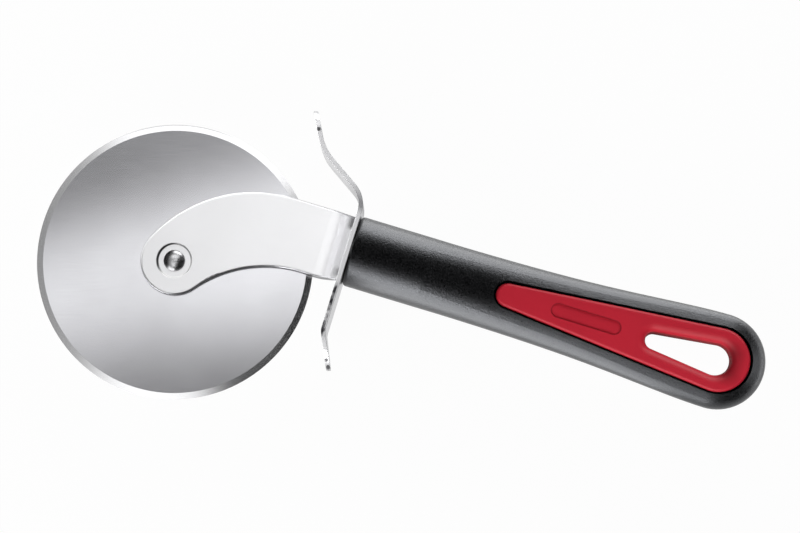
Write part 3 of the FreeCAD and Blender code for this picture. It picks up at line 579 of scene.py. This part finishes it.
grip = lit_pieces("grip", [nodes["handle"]])
soft_box("grip_light_far", (-0.185, 0.62, 0.13), (-0.185, 0.01, 0.01), 0.73, 0.25, 7, grip)
soft_box("grip_light_near", (-0.215, -0.60, 0.17), (-0.215, 0.01, 0.01), 0.67, 0.34, 8, grip)
soft_box("table_glow_far", (0, 0.21, 0.0003), (0, 0.21, 0.1), 0.2, 0.34, 3.8, grip)
soft_box("table_glow_near", (-0.015, -0.19, 0.0003), (-0.015, -0.19, 0.1), 0.18, 0.34, 4.6, grip)
soft_box("grip_light_right", (0.50, 0.10, 0.32), (0.09, 0.01, 0.01), 0.35, 0.5, 1.8, grip)
soft_box("table_glow_right", (0.27, 0.07, 0.0003), (0.27, 0.07, 0.1), 0.28, 0.16, 3, grip)
soft_box("grip_light_left", (-0.14, -0.42, 0.42), (0, 0.01, 0.01), 0.22, 0.22, 4, grip)

leaf = lit_pieces("leaf", [inlay])
soft_box("leaf_light_far", (0.15, 0.62, 0.20), (0.09, 0.01, 0.01), 0.5, 0.40, 6.5, leaf)
soft_box("leaf_light_near", (0.15, -0.60, 0.20), (0.09, 0.01, 0.01), 0.5, 0.40, 4.2, leaf)
soft_box("leaf_light_over", (-0.02, -0.36, 0.46), (0.04, 0.01, 0.01), 0.35, 0.3, 15.8, leaf)

arms = lit_pieces("arms", [nodes["front_arm"], nodes["rear_arm"]])
soft_box("arm_light_over", (0.13, 0.04, 0.26), (0.13, 0.04, 0), 0.24, 0.4, 1.38, arms)
soft_box("arm_light_far", (-0.12, 0.46, 0.22), (-0.05, 0, 0.01), 0.9, 0.4, 1.7, arms)
soft_box("arm_light_left", (-0.50, 0.16, 0.17), (-0.06, 0, 0.01), 0.6, 0.34, 2.0, arms)

guard = lit_pieces("guard", [nodes["finger_guard"]])
soft_box("guard_light_left", (-0.32, 0.03, 0.31), (-0.02, 0.01, 0.012), 0.4, 0.4, 6, guard)


# Light sheet
# A bright sheet over the wheel, square to the camera, which the steel mirrors. The grip is flagged off.
# It has two grey strips, a grey left part and dark right parts, and is a little dimmer below the axle.
view_roll = math.radians(16.83)
sheet_spot = axle_place + Vector((-0.0268, 0.0220, 0.26))
sheet_width = 0.46
sheet_height = 0.56
sheet_shift = -0.02
bright_level = 1.92
strip_level = 0.05
upper_strip_glow = 0.22
lower_strip_glow = 0.08
left_level = 0.45
lower_dimming = 0.92
axle_dimming = 0.74
axle_dim_middle = (-0.011, -0.019, 0)
upper_lean = 0.33
lower_lean = -0.10
bpy.ops.object.select_all(action="DESELECT")
bpy.ops.mesh.primitive_plane_add(size=1, location=(0, 0, 0))
light_sheet = bpy.context.object
light_sheet.name = "light_sheet"
bpy.ops.object.mode_set(mode="EDIT")
bpy.ops.transform.resize(value=(sheet_width, sheet_height, 1))
bpy.ops.transform.translate(value=(sheet_shift, 0, 0))
bpy.ops.object.mode_set(mode="OBJECT")
light_sheet.rotation_euler = (0, 0, view_roll)
light_sheet.location = sheet_spot
sheet_glow, tree, surface, place = new_finish("sheet_glow")
tree.nodes.remove(surface)
sheet_axes = axes_of(tree, place)
sheet_x, sheet_y = sheet_axes["X"], sheet_axes["Y"]
sheet_down = combine(tree, "MULTIPLY", sheet_y, -1)


def leaning(across, lean):
    return combine(tree, "SUBTRACT", across, combine(tree, "MULTIPLY", sheet_x, lean))


def grey_strip(across, lean, low, high, edge):
    rise = span(tree, leaning(across, lean), low - edge, low + edge, 0, 1)
    fall = span(tree, across, high - edge, high + edge, 1, 0)
    return combine(tree, "MULTIPLY", rise, fall)


upper_grey = grey_strip(sheet_y, upper_lean, 0.0218, 0.068, 0.010)
lower_grey = grey_strip(sheet_down, lower_lean, 0.028, 0.072, 0.012)
grey_part = combine(tree, "MAXIMUM", upper_grey, lower_grey)
deep_part = span(tree, leaning(sheet_y, upper_lean), 0.036, 0.042, 0, upper_strip_glow)
upper_glow = combine(tree, "MULTIPLY", upper_grey, deep_part)
lower_glow = combine(tree, "MULTIPLY", lower_grey, lower_strip_glow)
strip_glow = combine(tree, "ADD", upper_glow, lower_glow)
sheet_level = combine(tree, "ADD", span(tree, grey_part, 0, 1, bright_level, strip_level), strip_glow)

right_side = span(tree, sheet_x, 0.10, 0.13, 0, 1)
right_dark = combine(tree, "MULTIPLY", right_side, span(tree, sheet_y, 0.08, 0.11, 1, 0))
corner_side = span(tree, sheet_x, 0.03, 0.06, 0, 1)
corner_dark = combine(tree, "MULTIPLY", corner_side, span(tree, sheet_y, -0.12, -0.09, 1, 0))
dark_part = combine(tree, "MAXIMUM", right_dark, corner_dark)
sheet_level = combine(tree, "MULTIPLY", sheet_level, span(tree, dark_part, 0, 1, 1, 0))

lower_part = span(tree, sheet_down, 0.004, 0.024, 1, lower_dimming)
sheet_level = combine(tree, "MULTIPLY", sheet_level, lower_part)
from_axle_dim = length_of(tree, away_from(tree, place, axle_dim_middle))
below_axle = span(tree, from_axle_dim, 0.004, 0.017, axle_dimming, 1)
sheet_level = combine(tree, "MULTIPLY", sheet_level, below_axle)

left_grey = span(tree, sheet_x, -0.13, -0.085, 1, 0)
sheet_level = combine(tree, "MINIMUM", sheet_level, span(tree, left_grey, 0, 1, bright_level, left_level))
sheet_level = combine(tree, "MAXIMUM", sheet_level, span(tree, left_grey, 0, 1, 0, left_level))
sheet_light = add_node(tree, "ShaderNodeEmission")
tree.links.new(sheet_level, sheet_light.inputs["Strength"])
tree.links.new(sheet_light.outputs[0], tree.nodes["Material Output"].inputs["Surface"])
light_sheet.data.materials.append(sheet_glow)
light_sheet.visible_camera = False
mirror_names = ("cutting_wheel", "axle_rivet", "front_arm", "rear_arm", "finger_guard")
under_sheet = lit_pieces("under_sheet", [nodes[name] for name in mirror_names])
light_sheet.light_linking.receiver_collection = under_sheet


# Camera
# It stands about a metre above the cutter and leans a little towards the near side.
# It is turned so that the grip runs down to the right.
photo_width = 800
sensor_width = 36
focal_pixels = 3600
view_distance = 0.976
view_centre = axle_place + Vector((0.05879, 0.01649, 0))
towards = Vector((0.043, -0.102, 1)).normalized()
camera_data = bpy.data.cameras.new("photo_camera")
camera_data.sensor_fit = "HORIZONTAL"
camera_data.sensor_width = sensor_width
camera_data.lens = focal_pixels * sensor_width / photo_width
camera = bpy.data.objects.new("photo_camera", camera_data)
bpy.context.scene.collection.objects.link(camera)
level_right = (Vector((1, 0, 0)) - towards.x * towards).normalized()
level_up = towards.cross(level_right)
camera_right = math.cos(view_roll) * level_right + math.sin(view_roll) * level_up
camera_up = towards.cross(camera_right)
camera_axes = Matrix((camera_right, camera_up, towards)).transposed().to_4x4()
camera.matrix_world = Matrix.Translation(view_centre + towards * view_distance) @ camera_axes
bpy.context.scene.camera = camera
bpy.context.scene.view_settings.view_transform = "Standard"
